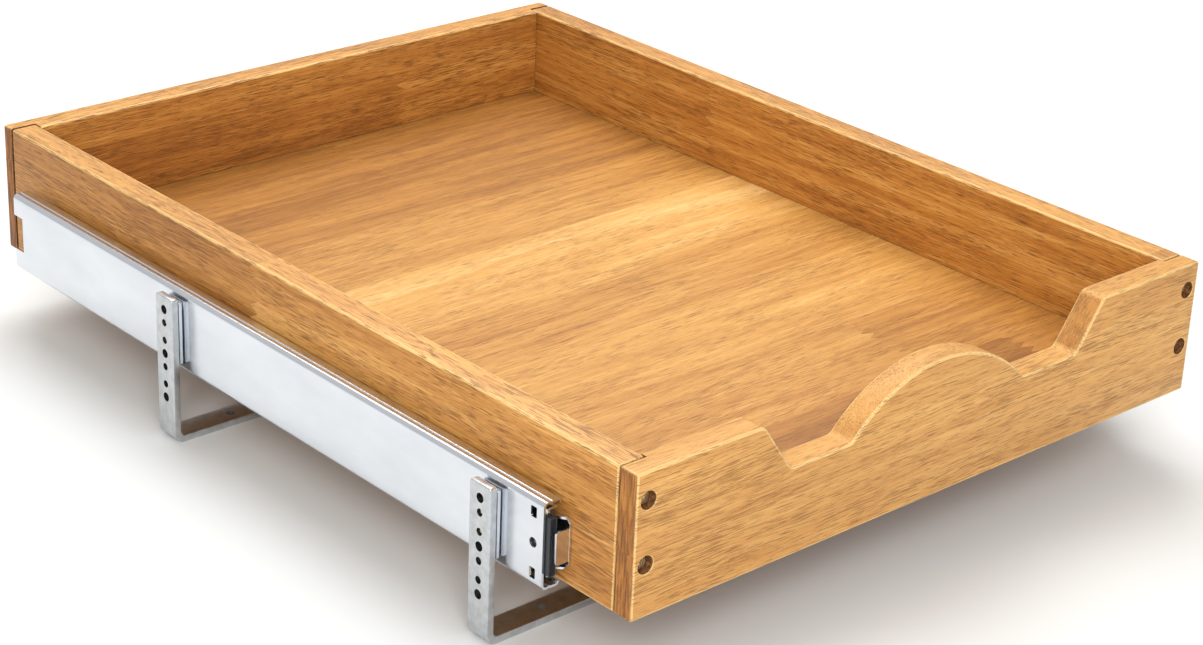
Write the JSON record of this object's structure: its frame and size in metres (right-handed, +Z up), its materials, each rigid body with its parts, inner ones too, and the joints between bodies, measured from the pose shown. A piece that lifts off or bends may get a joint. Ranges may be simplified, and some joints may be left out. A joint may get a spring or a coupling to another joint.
{
  "type": "pull-out drawer tray",
  "caption": "Shallow wooden pull-out tray with a scooped front on full-extension ball-bearing side slides, carried by adjustable steel angle brackets.",
  "frame": {"origin": "on the surface that the bracket feet stand on, under the middle of the tray", "axes": "+Y from the tray's front to its rear, +X to the right as seen from the front, +Z up"},
  "size_m": [0.437, 0.533, 0.115],
  "materials": {
    "oiled_hardwood": "finger-jointed hardwood with a warm satin oil finish",
    "zinc_plated_steel": "bright zinc-plated cold-rolled sheet",
    "satin_plated_steel": "satin plated steel plate",
    "screw_steel": "yellowish zinc-plated screws",
    "cage_steel": "thin pressed strip with bright steel balls",
    "black_plastic": "moulded black plastic",
    "black_rubber": "moulded black rubber"
  },
  "bodies": {
    "fixed_frame": {"left_outer_member": "zinc_plated_steel", "left_rear_bumper": "black_rubber", "left_front_bracket": "satin_plated_steel", "left_front_lug": "zinc_plated_steel", "left_front_upper_bracket_screw": "screw_steel", "left_front_lower_bracket_screw": "screw_steel", "left_rear_bracket": "satin_plated_steel", "left_rear_lug": "zinc_plated_steel", "left_rear_upper_bracket_screw": "screw_steel", "left_rear_lower_bracket_screw": "screw_steel", "right_outer_member": "zinc_plated_steel", "right_rear_bumper": "black_rubber", "right_front_bracket": "satin_plated_steel", "right_front_lug": "zinc_plated_steel", "right_front_upper_bracket_screw": "screw_steel", "right_front_lower_bracket_screw": "screw_steel", "right_rear_bracket": "satin_plated_steel", "right_rear_lug": "zinc_plated_steel", "right_rear_upper_bracket_screw": "screw_steel", "right_rear_lower_bracket_screw": "screw_steel"},
    "drawer": {"front_board": "oiled_hardwood", "rear_board": "oiled_hardwood", "bottom_panel": "oiled_hardwood", "front_left_lower_screw": "screw_steel", "front_left_upper_screw": "screw_steel", "front_right_lower_screw": "screw_steel", "front_right_upper_screw": "screw_steel", "rear_left_lower_screw": "screw_steel", "rear_left_upper_screw": "screw_steel", "rear_right_lower_screw": "screw_steel", "rear_right_upper_screw": "screw_steel", "left_side_board": "oiled_hardwood", "left_drawer_member": "zinc_plated_steel", "left_lever_rivet": "zinc_plated_steel", "left_front_member_screw": "screw_steel", "left_middle_member_screw": "screw_steel", "left_rear_member_screw": "screw_steel", "right_side_board": "oiled_hardwood", "right_drawer_member": "zinc_plated_steel", "right_lever_rivet": "zinc_plated_steel", "right_front_member_screw": "screw_steel", "right_middle_member_screw": "screw_steel", "right_rear_member_screw": "screw_steel"},
    "left_middle": {"left_middle_member": "zinc_plated_steel", "left_front_bumper": "black_plastic"},
    "left_outer_cage": {"left_outer_ball_cage": "cage_steel"},
    "left_inner_cage": {"left_inner_ball_cage": "cage_steel"},
    "left_lever": {"left_release_lever": "black_plastic"},
    "right_middle": {"right_middle_member": "zinc_plated_steel", "right_front_bumper": "black_plastic"},
    "right_outer_cage": {"right_outer_ball_cage": "cage_steel"},
    "right_inner_cage": {"right_inner_ball_cage": "cage_steel"},
    "right_lever": {"right_release_lever": "black_plastic"}
  },
  "joints": [
    {"name": "drawer_slide", "type": "slide", "parent": "fixed_frame", "child": "drawer", "axis": [0, -1, 0], "range_m": [0, 0.457]},
    {"name": "left_middle_slide", "type": "slide", "parent": "fixed_frame", "child": "left_middle", "axis": [0, -1, 0], "range_m": [0, 0.2286]},
    {"name": "left_outer_cage_slide", "type": "slide", "parent": "fixed_frame", "child": "left_outer_cage", "axis": [0, -1, 0], "range_m": [0, 0.1143]},
    {"name": "left_inner_cage_slide", "type": "slide", "parent": "fixed_frame", "child": "left_inner_cage", "axis": [0, -1, 0], "range_m": [0, 0.3429]},
    {"name": "left_lever_pivot", "type": "hinge", "parent": "drawer", "child": "left_lever", "pos_m": [-0.1985, -0.1465, 0.063], "axis": [1, 0, 0], "range_deg": [-5, 5], "stiffness_Nm_per_rad": 0.01},
    {"name": "right_middle_slide", "type": "slide", "parent": "fixed_frame", "child": "right_middle", "axis": [0, -1, 0], "range_m": [0, 0.2286]},
    {"name": "right_outer_cage_slide", "type": "slide", "parent": "fixed_frame", "child": "right_outer_cage", "axis": [0, -1, 0], "range_m": [0, 0.1143]},
    {"name": "right_inner_cage_slide", "type": "slide", "parent": "fixed_frame", "child": "right_inner_cage", "axis": [0, -1, 0], "range_m": [0, 0.3429]},
    {"name": "right_lever_pivot", "type": "hinge", "parent": "drawer", "child": "right_lever", "pos_m": [0.1985, -0.1465, 0.063], "axis": [1, 0, 0], "range_deg": [-5, 5], "stiffness_Nm_per_rad": 0.01}
  ],
  "couplings": [
    {"joint": "left_middle_slide", "follows": "drawer_slide", "ratio": 0.5},
    {"joint": "left_outer_cage_slide", "follows": "drawer_slide", "ratio": 0.25},
    {"joint": "left_inner_cage_slide", "follows": "drawer_slide", "ratio": 0.75},
    {"joint": "right_middle_slide", "follows": "drawer_slide", "ratio": 0.5},
    {"joint": "right_outer_cage_slide", "follows": "drawer_slide", "ratio": 0.25},
    {"joint": "right_inner_cage_slide", "follows": "drawer_slide", "ratio": 0.75}
  ]
}
